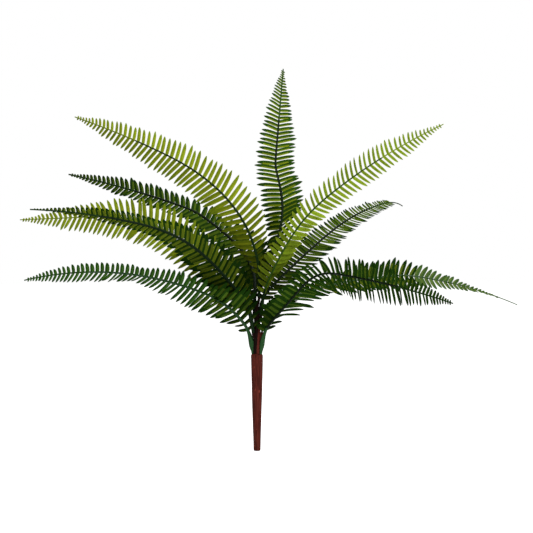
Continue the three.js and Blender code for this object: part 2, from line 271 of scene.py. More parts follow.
def factor(name, description, default):
    """A property for a share or a strength."""
    return FloatProperty(name=name, description=description, default=default, subtype="FACTOR")


def watts(name, description, default):
    """A property for a lamp's power."""
    return FloatProperty(name=name, description=description, default=default, unit="POWER")


class FernStemSettings(bpy.types.PropertyGroup):
    """Sizes and colours of the stem and of the core that carries the pegs."""

    foot_radius: metres("Foot radius", "Radius just above the flat foot", 4.4 * MM)
    collar_radius: metres("Collar radius", "Radius under the rounded rim", STEM_HIGH.x)
    edge: metres("Edge", "Rounding of the foot and of the rim", 1.2 * MM)
    swell: factor("Swell", "Share of the widening that is reached at half height", 0.55)
    groove: metres("Groove", "Depth of the streaks that run up the stem", 0.35 * MM)
    core_radius: metres("Core radius", "Radius of the core between the fronds", 4.5 * MM)
    core_flare: metres("Core flare", "Radius of the core where it leaves the collar", 5.2 * MM)
    core_tip_radius: metres("Core tip radius", "Radius of the core at its top", 2.2 * MM)
    core_top: metres("Core top", "Height at which the core ends", 190 * MM)
    stem_brown: colour("Stem brown", "Stem, and paler part of the core", (0.074, 0.0135, 0.009))
    core_brown: colour("Core brown", "Core and its pegs", (0.011, 0.004, 0.003))


class FernFrondSettings(bpy.types.PropertyGroup):
    """Sizes of the frond moulding, the same for every frond."""

    length: metres("Length", "Length of a frond along its rib", 380 * MM)
    rib_root: metres("Rib root", "Radius of the rib at its foot", 1.8 * MM)
    rib_tip: metres("Rib tip", "Radius of the rib at its tip", 0.7 * MM)
    pairs: IntProperty(name="Pairs", description="Pairs of leaflets on a frond", default=50, min=8)
    crowding: factor("Crowding", "How much closer the leaflets stand towards the tip", 0.16)
    tip_crowding: factor("Tip crowding", "How much closer still the last leaflets stand", 0.35)
    reach: metres("Reach", "Length of the longest leaflets", 37 * MM)
    width: metres("Width", "Width of the longest leaflets", 6.2 * MM)
    thickness: metres("Thickness", "Thickness of a leaflet along its middle", 0.5 * MM)
    fold: degrees("Fold", "Angle by which both halves of a leaflet fold up", 12)
    angle_low: degrees("Lower angle", "Angle between the rib and the lowest leaflets", 80)
    angle_tip: degrees("Tip angle", "Angle between the rib and the last leaflets", 62)
    curl: degrees("Curl", "Turn of a leaflet's tip towards the frond's tip", 7)
    sag: degrees("Sag", "Bend of a leaflet's tip away from the frond's upper face", 8)
    droop: factor("Droop", "How far a leaflet's tip gives way to its own weight", 0.12)
    lean_spread: degrees("Lean spread", "Unevenness of the angle between leaflets and rib", 2)
    hang_spread: degrees("Hang spread", "Unevenness of the leaflets' hang", 3)
    tilt_spread: degrees("Tilt spread", "Unevenness of the leaflets' turn about their own length", 6)


class FernLeafColours(bpy.types.PropertyGroup):
    """Colours of the fronds: each leaflet's outer half, its inner half near the rib, lighter as a painted
    highlight on the half of the fold that faces the light, and the rib. The stripes of the striped tone
    are this painted highlight.
    """

    sheath: colour("Sheath", "Sheaths of the fronds on the collar", (0.03, 0.1, 0.03))
    upper_sheath: colour("Upper sheath", "Sheaths of the fronds on the pegs", (0.008, 0.025, 0.006))
    deep_outer: colour("Deep outer", "Outer halves beyond the low left frond's foot", (0.02, 0.07, 0.008))
    deep_inner: colour("Deep inner", "Inner halves beyond the low left frond's foot", (0.045, 0.12, 0.016))
    # The low left frond's rib is paler and greyer than the others: its own green with a painted highlight
    # in it
    deep_rib: colour("Deep rib", "Rib of the low left frond", (0.03, 0.08, 0.028))
    shade_outer: colour("Shade outer", "Outer halves on the shaded low fronds", (0.015, 0.052, 0.005))
    shade_inner: colour("Shade inner", "Inner halves on the shaded low fronds", (0.07, 0.135, 0.012))
    shade_rib: colour("Shade rib", "Rib of the low right frond", (0.005, 0.014, 0.004))
    lime_outer: colour("Lime outer", "Outer halves on the upper right frond", (0.36, 0.5, 0.03))
    lime_inner: colour("Lime inner", "Inner halves on the upper right frond", (0.3, 0.44, 0.024))
    lime_rib: colour("Lime rib", "Rib of the upper right frond", (0.04, 0.11, 0.01))
    olive_outer: colour("Olive outer", "Outer halves on the yellowish fronds", (0.2, 0.27, 0.012))
    olive_inner: colour("Olive inner", "Inner halves on the yellowish fronds", (0.28, 0.34, 0.014))
    olive_rib: colour("Olive rib", "Ribs of the yellowish fronds", (0.01, 0.035, 0.006))
    striped_outer: colour("Striped outer", "Outer halves on the top frond", (0.028, 0.08, 0.007))
    striped_inner: colour("Striped inner", "Inner halves on the top frond", (0.19, 0.25, 0.013))
    striped_rib: colour("Striped rib", "Rib of the top frond", (0.005, 0.015, 0.004))
    moss_outer: colour("Moss outer", "Outer halves on the mossy fronds", (0.011, 0.038, 0.004))
    moss_inner: colour("Moss inner", "Inner halves on the mossy fronds", (0.095, 0.135, 0.009))
    moss_rib: colour("Moss rib", "Rib of the middle left frond", (0.005, 0.017, 0.004))
    dark_outer: colour("Dark outer", "Outer halves on the back fronds", (0.015, 0.044, 0.005))
    dark_inner: colour("Dark inner", "Inner halves on the back fronds", (0.07, 0.12, 0.01))
    dark_rib: colour("Dark rib", "Ribs of the back fronds", (0.004, 0.012, 0.003))
    grey_outer: colour("Grey outer", "Outer halves on the long right frond's end", (0.055, 0.115, 0.026))
    grey_inner: colour("Grey inner", "Inner halves on the long right frond's end", (0.105, 0.165, 0.034))
    grey_rib: colour("Grey rib", "Rib of the long right frond", (0.05, 0.1, 0.04))


class FernStageSettings(bpy.types.PropertyGroup):
    """Camera, floor and lights."""

    distance: metres("Distance", "Distance from the stem to the camera", 2.2)
    frame_width: metres("Frame width", "Width of the view at the stem", 692.9 * MM)
    aim: FloatVectorProperty(
        name="Aim", description="Point in the middle of the view", subtype="TRANSLATION",
        default=(12.35 * MM, 0, 239.5 * MM),
    )
    floor_size: metres("Floor size", "Side of the square floor", 40)
    floor_colour: colour("Floor colour", "Pale colour of the floor", (0.9, 0.9, 0.9))
    ambient: factor("Ambient", "Light that the white room gives from all round", 0.2)
    key_power: watts("Key power", "Power of the soft light at the front right", 33)
    fill_power: watts("Fill power", "Power of the soft light at the front left", 4)
    top_power: watts("Top power", "Power of the soft light overhead", 20)


# Rule by which the fronds grow


def slope(frond, s):
    """The rib's slope above the level, in radians, at a share s of its length."""
    middle, half = frond["at"], frond["span"] / 2
    bent = frond["bend"] * smoothstep(s, middle - half, middle + half)
    free = frond["rise"] - bent - frond["droop"] * s
    sheathed = smoothstep(s, SHEATH_FROM, SHEATH_TO)
    return np.radians(blend_to(frond.get("lift", SHEATH_RISE), free, sheathed))


def bearing(frond, s):
    """The rib's compass bearing, in radians, at a share s of its length."""
    swung = frond["heading"] + frond["turn"] * smoothstep(s, 0, TURN_END)
    if "kink" in frond:
        kinked = smoothstep(s, frond["kink_at"] - KINK_HALF, frond["kink_at"] + KINK_HALF)
        swung = swung + frond["kink"] * kinked
    return np.radians(swung)


def direction(frond, s):
    """Unit vectors along the rib."""
    e, h = slope(frond, s), bearing(frond, s)
    return np.stack([np.cos(e) * np.cos(h), np.cos(e) * np.sin(h), np.sin(e)], axis=-1)


def seat_point(frond):
    """The point on the collar or on its peg that a frond stands on."""
    angle, radius, height = frond["seat"]
    return np.array([
        radius * math.cos(math.radians(angle)),
        radius * math.sin(math.radians(angle)),
        height,
    ])


def points_at(frond, length, s):
    """Points on the rib at the shares s, added up from short straight steps."""
    middles = (np.arange(RIB_STEPS) + 0.5) / RIB_STEPS
    steps = direction(frond, middles) * length / RIB_STEPS
    root = seat_point(frond) + [0, 0, GAP]
    course = np.vstack([root, root + np.cumsum(steps, axis=0)])
    stops = np.linspace(0, 1, RIB_STEPS + 1)
    return np.stack([np.interp(s, stops, course[:, axis]) for axis in range(3)], axis=-1)


def blade_value(values, s):
    """A value of the blade at s, from its values at four places along the rib."""
    return np.interp(s, BLADE_PLACES, values)


def axes_at(frond, s):
    """The blade's axes at the shares s: along the rib, across it to the right, and up out of it."""
    along = direction(frond, s)
    along[s <= 0] = (0, 0, 1)
    h = bearing(frond, s)
    level = np.stack([np.sin(h), -np.cos(h), np.zeros_like(h)], axis=-1)
    raised = np.cross(level, along)
    square = QUARTER_TURN * round(frond["roll"][0] / QUARTER_TURN)
    rolled = smoothstep(s, 0, SHEATH_END)
    roll = np.radians(blend_to(square, blade_value(frond["roll"], s), rolled))[..., None]
    across = level * np.cos(roll) + raised * np.sin(roll)
    up = raised * np.cos(roll) - level * np.sin(roll)
    return along, across, up


def leaf_share(s):
    """The share of the full reach that a leaflet has at s."""
    u = np.clip((s - LEAF_FROM) / (1 - LEAF_FROM), 0, 1)
    swelling = blend_to(LEAF_SHORT_FOOT, 1, smoothstep(u, 0, LEAF_SWELL))
    return (1 - u ** LEAF_TAPER) * swelling


# Node groups and materials


def new_group(name, inputs, outputs):
    """An empty shader node group with named sockets."""
    group = bpy.data.node_groups.new(name, "ShaderNodeTree")
    for kind, label, default in inputs:
        socket = group.interface.new_socket(name=label, in_out="INPUT", socket_type=kind)
        socket.default_value = default
    for kind, label in outputs:
        group.interface.new_socket(name=label, in_out="OUTPUT", socket_type=kind)
    return group


def add_node(tree, kind, **settings):
    """Adds a node and sets its named properties and unlinked inputs."""
    node = tree.nodes.new(kind)
    for key, value in settings.items():
        if key in node.inputs:
            node.inputs[key].default_value = value
        else:
            setattr(node, key, value)
    return node


def feed(tree, socket, value):
    """Links an output to a socket, or sets a plain value on it."""
    if isinstance(value, bpy.types.NodeSocket):
        tree.links.new(value, socket)
    else:
        socket.default_value = value


def calculate(tree, operation, *values):
    """The result of a sum on outputs and plain values."""
    node = add_node(tree, "ShaderNodeMath", operation=operation)
    for socket, value in zip(node.inputs, values):
        feed(tree, socket, value)
    return node.outputs[0]


def map_range(tree, value, edges, ends=(0.0, 1.0), easing="LINEAR"):
    """An output mapped from between two edges to between two ends."""
    node = add_node(tree, "ShaderNodeMapRange", interpolation_type=easing)
    labels = ("Value", "From Min", "From Max", "To Min", "To Max")
    for label, entry in zip(labels, (value, *edges, *ends)):
        feed(tree, node.inputs[label], entry)
    return node.outputs[0]


def mix_colours(tree, share, first, second, blend="MIX"):
    """Two colours mixed by the share of the second."""
    node = add_node(tree, "ShaderNodeMix", data_type="RGBA", blend_type=blend)
    feed(tree, node.inputs["Factor"], share)
    feed(tree, node.inputs[6], first)
    feed(tree, node.inputs[7], second)
    return node.outputs[2]


def upright_noise(tree, squeeze, scale, detail):
    """Noise in the object's own space, drawn out along its height."""
    place = add_node(tree, "ShaderNodeTexCoord")
    stretch = add_node(tree, "ShaderNodeMapping")
    stretch.inputs["Scale"].default_value = (1, 1, squeeze)
    tree.links.new(place.outputs["Object"], stretch.inputs["Vector"])
    pattern = add_node(tree, "ShaderNodeTexNoise", Scale=scale, Detail=detail)
    tree.links.new(stretch.outputs[0], pattern.inputs["Vector"])
    return pattern.outputs["Fac"]


def moulded_group():
    """Uneven colour and gloss of moulded plastic: a cloudy tint, fine grain and a height."""
    name = "Moulded plastic"
    if name in bpy.data.node_groups:
        return bpy.data.node_groups[name]
    group = new_group(
        name,
        [
            ("NodeSocketColor", "Colour", (0.5, 0.5, 0.5, 1)),
            ("NodeSocketFloat", "Cloud size", 60.0),
            ("NodeSocketFloat", "Unevenness", 0.3),
            ("NodeSocketFloat", "Roughness", 0.5),
        ],
        [("NodeSocketColor", "Colour"), ("NodeSocketFloat", "Roughness"), ("NodeSocketFloat", "Height")],
    )
    link = group.links.new
    entry = add_node(group, "NodeGroupInput")
    leave = add_node(group, "NodeGroupOutput")
    place = add_node(group, "ShaderNodeTexCoord")
    cloud = add_node(group, "ShaderNodeTexNoise", Detail=3.0)
    grain = add_node(group, "ShaderNodeTexNoise", Scale=1800.0, Detail=2.0)
    link(place.outputs["Object"], cloud.inputs["Vector"])
    link(place.outputs["Object"], grain.inputs["Vector"])
    link(entry.outputs["Cloud size"], cloud.inputs["Scale"])
    centred = calculate(group, "SUBTRACT", cloud.outputs["Fac"], 0.5)
    tint = calculate(group, "MULTIPLY_ADD", centred, entry.outputs["Unevenness"], 1.0)
    shaded = add_node(group, "ShaderNodeVectorMath", operation="SCALE")
    link(entry.outputs["Colour"], shaded.inputs[0])
    link(tint, shaded.inputs["Scale"])
    gloss = calculate(group, "MULTIPLY_ADD", centred, GLOSS_SPREAD, entry.outputs["Roughness"])
    link(shaded.outputs[0], leave.inputs["Colour"])
    link(gloss, leave.inputs["Roughness"])
    link(grain.outputs["Fac"], leave.inputs["Height"])
    return group


def veins_group():
    """Veins of a leaflet, read from its own map: a midrib line and slanting side veins."""
    name = "Leaflet veins"
    if name in bpy.data.node_groups:
        return bpy.data.node_groups[name]
    group = new_group(
        name,
        [("NodeSocketFloat", "Veins", 14.0)],
        [("NodeSocketFloat", "Midrib"), ("NodeSocketFloat", "Height")],
    )
    link = group.links.new
    entry = add_node(group, "NodeGroupInput")
    leave = add_node(group, "NodeGroupOutput")
    leaflet = add_node(group, "ShaderNodeUVMap", uv_map=LEAFLET_MAP)
    split = add_node(group, "ShaderNodeSeparateXYZ")
    link(leaflet.outputs["UV"], split.inputs[0])
    aside = calculate(group, "SUBTRACT", split.outputs["X"], 0.5)
    spread = calculate(group, "ABSOLUTE", aside)
    midrib = map_range(group, spread, MIDRIB_EDGES, (1.0, 0.0), "SMOOTHSTEP")
    lean = calculate(group, "MULTIPLY", spread, VEIN_LEAN)
    slant = calculate(group, "SUBTRACT", split.outputs["Y"], lean)
    count = calculate(group, "MULTIPLY", slant, entry.outputs["Veins"])
    ripple = calculate(group, "PINGPONG", count, 0.5)
    height = calculate(group, "ADD", ripple, midrib)
    link(midrib, leave.inputs["Midrib"])
    link(height, leave.inputs["Height"])
    return group


def new_material(name, roughness, specular):
    """A node material with a plain Principled shader."""
    material = bpy.data.materials.new(name)
    material.use_nodes = True
    shader = material.node_tree.nodes["Principled BSDF"]
    shader.inputs["Roughness"].default_value = roughness
    shader.inputs["Specular IOR Level"].default_value = specular
    return material, material.node_tree, shader


def place_moulding(tree, shader, tint, cloud_size, unevenness, roughness):
    """Puts the moulded plastic group before a shader and gives it this material's own values."""
    group = add_node(tree, "ShaderNodeGroup", node_tree=moulded_group())
    group.inputs["Colour"].default_value = (*tint, 1)
    group.inputs["Cloud size"].default_value = cloud_size
    group.inputs["Unevenness"].default_value = unevenness
    group.inputs["Roughness"].default_value = roughness
    tree.links.new(group.outputs["Colour"], shader.inputs["Base Color"])
    tree.links.new(group.outputs["Roughness"], shader.inputs["Roughness"])
    return group


def add_bump(tree, shader, height, strength, distance):
    """A bump from a height output."""
    bump = add_node(tree, "ShaderNodeBump", Strength=strength, Distance=distance)
    tree.links.new(height, bump.inputs["Height"])
    tree.links.new(bump.outputs["Normal"], shader.inputs["Normal"])


def leaf_material(name, leaf_colour):
    """Satin leaf green with a shaded midrib and fine side veins."""
    material, tree, shader = new_material(name, roughness=0.7, specular=0.0)
    moulding = place_moulding(tree, shader, leaf_colour, cloud_size=45.0, unevenness=0.4, roughness=0.7)
    veins = add_node(tree, "ShaderNodeGroup", node_tree=veins_group())
    plain, midrib = moulding.outputs["Colour"], veins.outputs["Midrib"]
    shaded = mix_colours(tree, midrib, plain, MIDRIB_SHADE, blend="MULTIPLY")
    tree.links.new(shaded, shader.inputs["Base Color"])
    add_bump(tree, shader, veins.outputs["Height"], strength=0.4, distance=0.15 * MM)
    return material


def rib_material(name, rib_colour):
    """Satin green of the ribs and sheaths."""
    material, tree, shader = new_material(name, roughness=0.6, specular=0.1)
    moulding = place_moulding(tree, shader, rib_colour, cloud_size=90.0, unevenness=0.6, roughness=0.6)
    add_bump(tree, shader, moulding.outputs["Height"], strength=0.3, distance=0.1 * MM)
    return material


def bark_material(name, brown, streak_light, fleck_light):
    """Brown plastic with paler streaks that run up it and a few pale flecks."""
    material, tree, shader = new_material(name, roughness=0.5, specular=0.06)
    moulding = place_moulding(tree, shader, brown, cloud_size=120.0, unevenness=0.7, roughness=0.48)
    streaks = upright_noise(tree, squeeze=0.08, scale=550.0, detail=4.0)
    flecks = upright_noise(tree, squeeze=0.35, scale=420.0, detail=1.0)
    finish = moulding.outputs["Colour"]
    layers = ((streaks, STREAK_EDGES, streak_light), (flecks, FLECK_EDGES, fleck_light))
    for pattern, edges, light in layers:
        paler = (*(channel * light for channel in brown), 1)
        finish = mix_colours(tree, map_range(tree, pattern, edges), finish, paler)
    tree.links.new(finish, shader.inputs["Base Color"])
    add_bump(tree, shader, streaks, strength=0.5, distance=0.3 * MM)
    return material


# Pieces


def start_modelling():
    """Leaves edit mode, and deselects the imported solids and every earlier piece."""
    if bpy.context.object and bpy.context.object.mode != "OBJECT":
        bpy.ops.object.mode_set(mode="OBJECT")
    bpy.ops.object.select_all(action="DESELECT")


def keep_piece(piece, name, nodes=()):
    """Names a finished piece, ties it to the body, and hides the solids that it stands for."""
    piece.name = name
    piece.data.name = name
    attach(piece, BODY)
    if nodes:
        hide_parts(*nodes)
    return piece


def turn_profile(profile, sides):
    """A round form raised from its foot by extruding and resizing rings of radius and height."""
    start_modelling()
    radius, height = profile[0]
    bpy.ops.mesh.primitive_circle_add(
        vertices=sides, radius=radius, fill_type="NGON", location=(0, 0, height),
    )
    piece = bpy.context.object
    bpy.ops.object.transform_apply(location=True, rotation=True, scale=True)
    bpy.ops.object.mode_set(mode="EDIT")
    bpy.ops.mesh.select_all(action="SELECT")
    for new_radius, new_height in profile[1:]:
        bpy.ops.mesh.extrude_region_move(TRANSFORM_OT_translate={"value": (0, 0, new_height - height)})
        growth = new_radius / radius
        bpy.ops.transform.resize(value=(growth, growth, 1), center_override=(0, 0, new_height))
        radius, height = new_radius, new_height
    bpy.ops.mesh.select_all(action="SELECT")
    bpy.ops.mesh.normals_make_consistent(inside=False)
    bpy.ops.object.mode_set(mode="OBJECT")
    return piece


def stem_profile(stem):
    """Radius and height of the stem's rings, from its flat foot to the top of its rounded collar."""
    height = STEM_HIGH.z
    knots = [0, stem.edge, height / 2, height - 2 * stem.edge]
    radii = [
        stem.foot_radius - stem.edge / 2,
        stem.foot_radius,
        blend_to(stem.foot_radius, stem.collar_radius, stem.swell),
        stem.collar_radius,
    ]
    rings = np.linspace(0, height - 2 * stem.edge, STEM_RINGS)
    profile = [(float(np.interp(z, knots, radii)), float(z)) for z in rings]
    for turn in np.radians(RIM_TURNS):
        profile.append((
            float(stem.collar_radius - 2 * stem.edge * (1 - math.cos(turn))),
            float(height - 2 * stem.edge * (1 - math.sin(turn))),
        ))
    return profile


def streak_height(x, y, z, streaks):
    """The height of uneven streaks on the unit circle, from their grain round the stem and up it."""
    grain, pitch = streaks
    return noise.noise(Vector((x * grain, y * grain, z * pitch)))


def groove_stem(piece, depth):
    """Wears uneven streaks into the stem's side. The flat foot stays flat."""
    for vertex in piece.data.vertices:
        x, y, z = vertex.co
        radius = math.hypot(x, y)
        if z < MM / 2 or radius < MM:
            continue
        angle = math.atan2(y, x)
        round_x, round_y = math.cos(angle), math.sin(angle)
        fine = streak_height(round_x, round_y, z, FINE_STREAKS)
        broad = streak_height(round_x, round_y, z, BROAD_STREAKS)
        worn = radius - depth * (fine + BROAD_SHARE * broad - STREAKS_OUT)
        vertex.co.x, vertex.co.y = worn * round_x, worn * round_y


def shade_by_angle(piece, crisp_from):
    """Smooth shading, with edges sharper than an angle in degrees kept crisp."""
    start_modelling()
    piece.select_set(True)
    bpy.context.view_layer.objects.active = piece
    bpy.ops.object.shade_smooth_by_angle(angle=math.radians(crisp_from))


def apply_modifier(piece, kind, **settings):
    """Adds a modifier to a piece, sets it and applies it."""
    start_modelling()
    piece.select_set(True)
    bpy.context.view_layer.objects.active = piece
    modifier = piece.modifiers.new(kind.title(), kind)
    for key, value in settings.items():
        setattr(modifier, key, value)
    bpy.ops.object.modifier_apply(modifier=modifier.name)


class FERN_OT_stem(bpy.types.Operator):
    """Model the tapered brown stem with its streaks and rounded collar"""

    bl_idname = "fern.stem"
    bl_label = "Stem"

    def execute(self, context):
        stem = context.scene.fern_stem
        piece = turn_profile(stem_profile(stem), STEM_SIDES)
        groove_stem(piece, stem.groove)
        shade_by_angle(piece, crisp_from=40)
        bark = bark_material("Stem bark", stem.stem_brown, streak_light=2.4, fleck_light=6.0)
        piece.data.materials.append(bark)
        keep_piece(piece, "stem_bark", ["stem"])
        return {"FINISHED"}


def peg_tube(frond):
    """A round peg that leaves the core, bends once at its elbow and stands up under a frond's root."""
    start_modelling()
    top = Vector(seat_point(frond))
    foot = Vector((0, 0, top.z - PEG_DROP))
    elbow = Vector((top.x, top.y, top.z - PEG_ELBOW))
    bpy.ops.curve.primitive_bezier_curve_add()
    peg = bpy.context.object
    first, last = peg.data.splines[0].bezier_points
    for point, place in ((first, foot), (last, top)):
        point.handle_left_type = point.handle_right_type = "FREE"
        point.co = place
        point.handle_left = point.handle_right = place + (elbow - place) * 2 / 3
    peg.data.dimensions = "3D"
    peg.data.bevel_depth = frond.get("peg", PEG_RADIUS)
    peg.data.bevel_resolution = PEG_SIDES
    peg.data.use_fill_caps = True
    bpy.ops.object.convert(target="MESH")
    return bpy.context.object


class FERN_OT_core(bpy.types.Operator):
    """Model the dark core with the pegs that carry the upper fronds"""

    bl_idname = "fern.core"
    bl_label = "Core and pegs"

    def execute(self, context):
        stem = context.scene.fern_stem
        profile = [
            (stem.core_flare, STEM_HIGH.z - GAP),
            (stem.core_flare, COLLAR_SEAT + 2 * stem.core_flare),
            (stem.core_radius, COLLAR_SEAT + 5 * stem.core_flare),
            (stem.core_radius, HIGH_PEGS - PEG_DROP),
            (stem.core_tip_radius, stem.core_top),
            (stem.core_tip_radius / 2, stem.core_top + stem.core_tip_radius),
        ]
        column = turn_profile(profile, STEM_SIDES)
        pegs = [peg_tube(frond) for frond in FRONDS if frond["seat"][2] > COLLAR_SEAT]
        start_modelling()
        for part in (column, *pegs):
            part.select_set(True)
        context.view_layer.objects.active = column
        bpy.ops.object.join()
        bpy.ops.object.transform_apply(location=True, rotation=True, scale=True)
        apply_modifier(column, "REMESH", mode="VOXEL", voxel_size=CORE_VOXEL)
        apply_modifier(column, "SMOOTH", factor=0.5, iterations=4)
        shade_by_angle(column, crisp_from=50)
        dark = bark_material("Core bark", stem.core_brown, streak_light=1.5, fleck_light=3.0)
        pale = bark_material("Peg bark", stem.stem_brown, streak_light=2.6, fleck_light=5.0)
        for bark in (dark, pale):
            column.data.materials.append(bark)
        for face in column.data.polygons:
            x, _, z = face.center
            edge = PEG_PAINT_LEAN * (z - COLLAR_SEAT) - MM
            face.material_index = int(x > edge and z < PEG_PAINT_TOP)
        keep_piece(column, "core_pegs", ["core"])
        return {"FINISHED"}


def mesh_piece(name, points, faces, slots, materials):
    """A mesh object from arrays of points and faces, with a material slot for each face."""
    mesh = bpy.data.meshes.new(name)
    mesh.from_pydata(points.tolist(), [], faces)
    mesh.validate()
    for material in materials:
        mesh.materials.append(material)
    mesh.polygons.foreach_set("material_index", slots)
    piece = bpy.data.objects.new(name, mesh)
    bpy.context.scene.collection.objects.link(piece)
    return piece


def rib_radius(frond, sizes, s):
    """The rib's radius at s, with the swell of the sheath at its foot."""
    plain = frond["rib"] * blend_to(sizes.rib_root, sizes.rib_tip, s)
    swell = smoothstep(s, 0, SHEATH_WIDEST) * (1 - smoothstep(s, SHEATH_WIDEST, SHEATH_END))
    return blend_to(plain, frond["sheath"], swell)


def rib_tube(frond, sizes):
    """The rib and sheath of one frond as a closed tube. The slots are sheath, rib and tip."""
    sheath_rings = RIB_RINGS // 4
    sheathed = np.linspace(0, SHEATH_TO, sheath_rings, endpoint=False)
    s = np.concatenate([sheathed, np.linspace(SHEATH_TO, 1, RIB_RINGS - sheath_rings)])
    centre = points_at(frond, sizes.length, s)
    centre[0, 2] -= RIB_SINK * GAP
    _, across, up = axes_at(frond, s)
    radius = rib_radius(frond, sizes, s)
    turns = np.arange(RIB_SIDES) * 2 * np.pi / RIB_SIDES
    wide = np.cos(turns)[None, :, None] * across[:, None, :]
    deep = np.sin(turns)[None, :, None] * up[:, None, :] * RIB_DEPTH
    points = (centre[:, None, :] + radius[:, None, None] * (wide + deep)).reshape(-1, 3)
    faces = [tuple(range(RIB_SIDES))[::-1]]
    slots = [0]
    for ring in range(len(s) - 1):
        for side in range(RIB_SIDES):
            after = (side + 1) % RIB_SIDES
            low, high = ring * RIB_SIDES, (ring + 1) * RIB_SIDES
            faces.append((low + side, low + after, high + after, high + side))
            slots.append(int(s[ring] >= SHEATH_END) + int(s[ring] >= RIB_TIP_FROM))
    last = (len(s) - 1) * RIB_SIDES
    faces.append(tuple(range(last, last + RIB_SIDES)))
    slots.append(2)
    return points, faces, slots


def by_side(frond, key, side):
    """A frond's value for leaflets on the right of the rib or on its left, or 0 where it has none."""
    return np.where(side > 0, *frond.get(key, (0, 0)))


def foot_share(s):
    """How much a leaflet at s belongs to the foot of its frond, from 1 down to 0."""
    return 1 - smoothstep(s, LEAF_FROM, FOOT_END)


def leaflet_stands(frond, sizes):
    """The share of the rib at which each leaflet stands, and its side: 1 right, -1 left."""
    even = np.linspace(0, 1, sizes.pairs)
    crowded = even + (sizes.crowding + sizes.tip_crowding * even ** 3) * even * (1 - even)
    s = np.repeat(blend_to(LEAF_FROM, frond.get("leaf_to", LEAF_TO), crowded), 2)
    return s, np.tile([1.0, -1.0], sizes.pairs)


def leaflet_spines(frond, sizes, rng, s, side, share):
    """The middle line of each leaflet, from its foot on the rib to its tip, and its headings."""
    length = sizes.reach * share * blade_value(frond["reach"], s)
    length = length * (1 + foot_share(s) * by_side(frond, "longer", side))
    u = (s - LEAF_FROM) / (1 - LEAF_FROM)
    angle = blend_to(sizes.angle_low, sizes.angle_tip, u)
    angle = angle + sizes.lean_spread * rng.standard_normal(len(s))
    hang = np.radians(blade_value(frond["hang"], s)) + sizes.hang_spread * rng.standard_normal(len(s))
    hang = hang + foot_share(s) * np.radians(by_side(frond, "nods", side))
    bent = smoothstep(LEAFLET_STOPS, LEAFLET_BEND_FROM, 1)
    a = angle[:, None] - sizes.curl * bent
    d = hang[:, None] + sizes.sag * bent
    along, across, up = (axis[:, None, :] for axis in axes_at(frond, s))
    heading = (
        np.cos(a)[..., None] * along
        + (side[:, None] * np.sin(a) * np.cos(d))[..., None] * across
        - (np.sin(a) * np.sin(d))[..., None] * up
    )
    heading[..., 2] -= sizes.droop * bent * share[:, None]
    heading /= np.linalg.norm(heading, axis=-1, keepdims=True)
    spans = length[:, None] * np.diff(LEAFLET_STOPS)
    steps = (heading[:, 1:] + heading[:, :-1]) / 2 * spans[..., None]
    root = points_at(frond, sizes.length, s)[:, None, :]
    return np.concatenate([root, root + np.cumsum(steps, axis=1)], axis=1), heading


def leaflet_halves(frond, sizes, s, side, share):
    """Half the width of each leaflet at its stations."""
    outline = blend_to(LEAFLET_FOOT, 1, smoothstep(LEAFLET_STOPS, 0, LEAFLET_WIDEST))
    outline = outline * (1 - LEAFLET_STOPS ** LEAFLET_BLUNTNESS) ** LEAFLET_POINT
    narrowing = blade_value(frond["width"], s) * share ** NARROWING
    narrowing = narrowing * (1 + foot_share(s) * by_side(frond, "wider", side))
    return sizes.width / 2 * narrowing[:, None] * outline[None, :]


def leaflet_points(frond, sizes, rng):
    """Points of all the leaflets on a frond: for each, its stations of outer edge, crease, inner
    edge and underside, and then its tip. Also the side and the share of the rib where each stands."""
    s, side = leaflet_stands(frond, sizes)
    count = len(s)
    share = np.maximum(leaf_share(s), TIP_SHARE) * (1 + LENGTH_SPREAD * rng.standard_normal(count))
    spine, heading = leaflet_spines(frond, sizes, rng, s, side, share)
    tilt = np.radians(by_side(frond, "tilts", side)) + sizes.tilt_spread * rng.standard_normal(count)
    tilt = tilt[:, None, None]
    along = direction(frond, s)[:, None, :]
    width = along - (along * heading).sum(-1, keepdims=True) * heading
    width /= np.linalg.norm(width, axis=-1, keepdims=True)
    top = np.cross(heading, width) * side[:, None, None]
    turned = width * np.cos(tilt) + top * np.sin(tilt)
    top = top * np.cos(tilt) - width * np.sin(tilt)
    half = leaflet_halves(frond, sizes, s, side, share)
    rise = (half * math.sin(sizes.fold))[..., None] * top
    reach = (half * math.cos(sizes.fold))[..., None] * turned
    thick_from = sizes.width / 4
    under = (sizes.thickness * np.minimum(1, half / thick_from))[..., None] * top
    rings = np.stack([spine + reach + rise, spine, spine - reach + rise, spine - under], axis=2)
    body = rings[:, :-1].reshape(count, -1, 3)
    return np.concatenate([body, spine[:, -1:]], axis=1), side, s


def leaflet_faces(side, shade):
    """Faces of one leaflet and their material slots. Near the rib its inner half takes the lighter
    inner colour, a painted highlight on the half that faces the light.
    """
    plain, painted_highlight = 2 * shade, 2 * shade + 1
    faces = [(3, 2, 1, 0)]
    slots = [plain]
    tip = 4 * LEAFLET_STEPS
    for step in range(LEAFLET_STEPS):
        # Painted highlight: the inner half's first stations near the rib take the lighter inner colour
        inner = painted_highlight if step < PAINTED_HIGHLIGHT_STEPS else plain
        for corner, kind in enumerate((plain, inner, inner, plain)):
            after = (corner + 1) % 4
            low, high = 4 * step, 4 * step + 4
            if step + 1 < LEAFLET_STEPS:
                faces.append((low + corner, low + after, high + after, high + corner))
            else:
                faces.append((low + corner, low + after, tip))
            slots.append(kind)
    if side < 0:
        faces = [face[::-1] for face in faces]
    return faces, slots


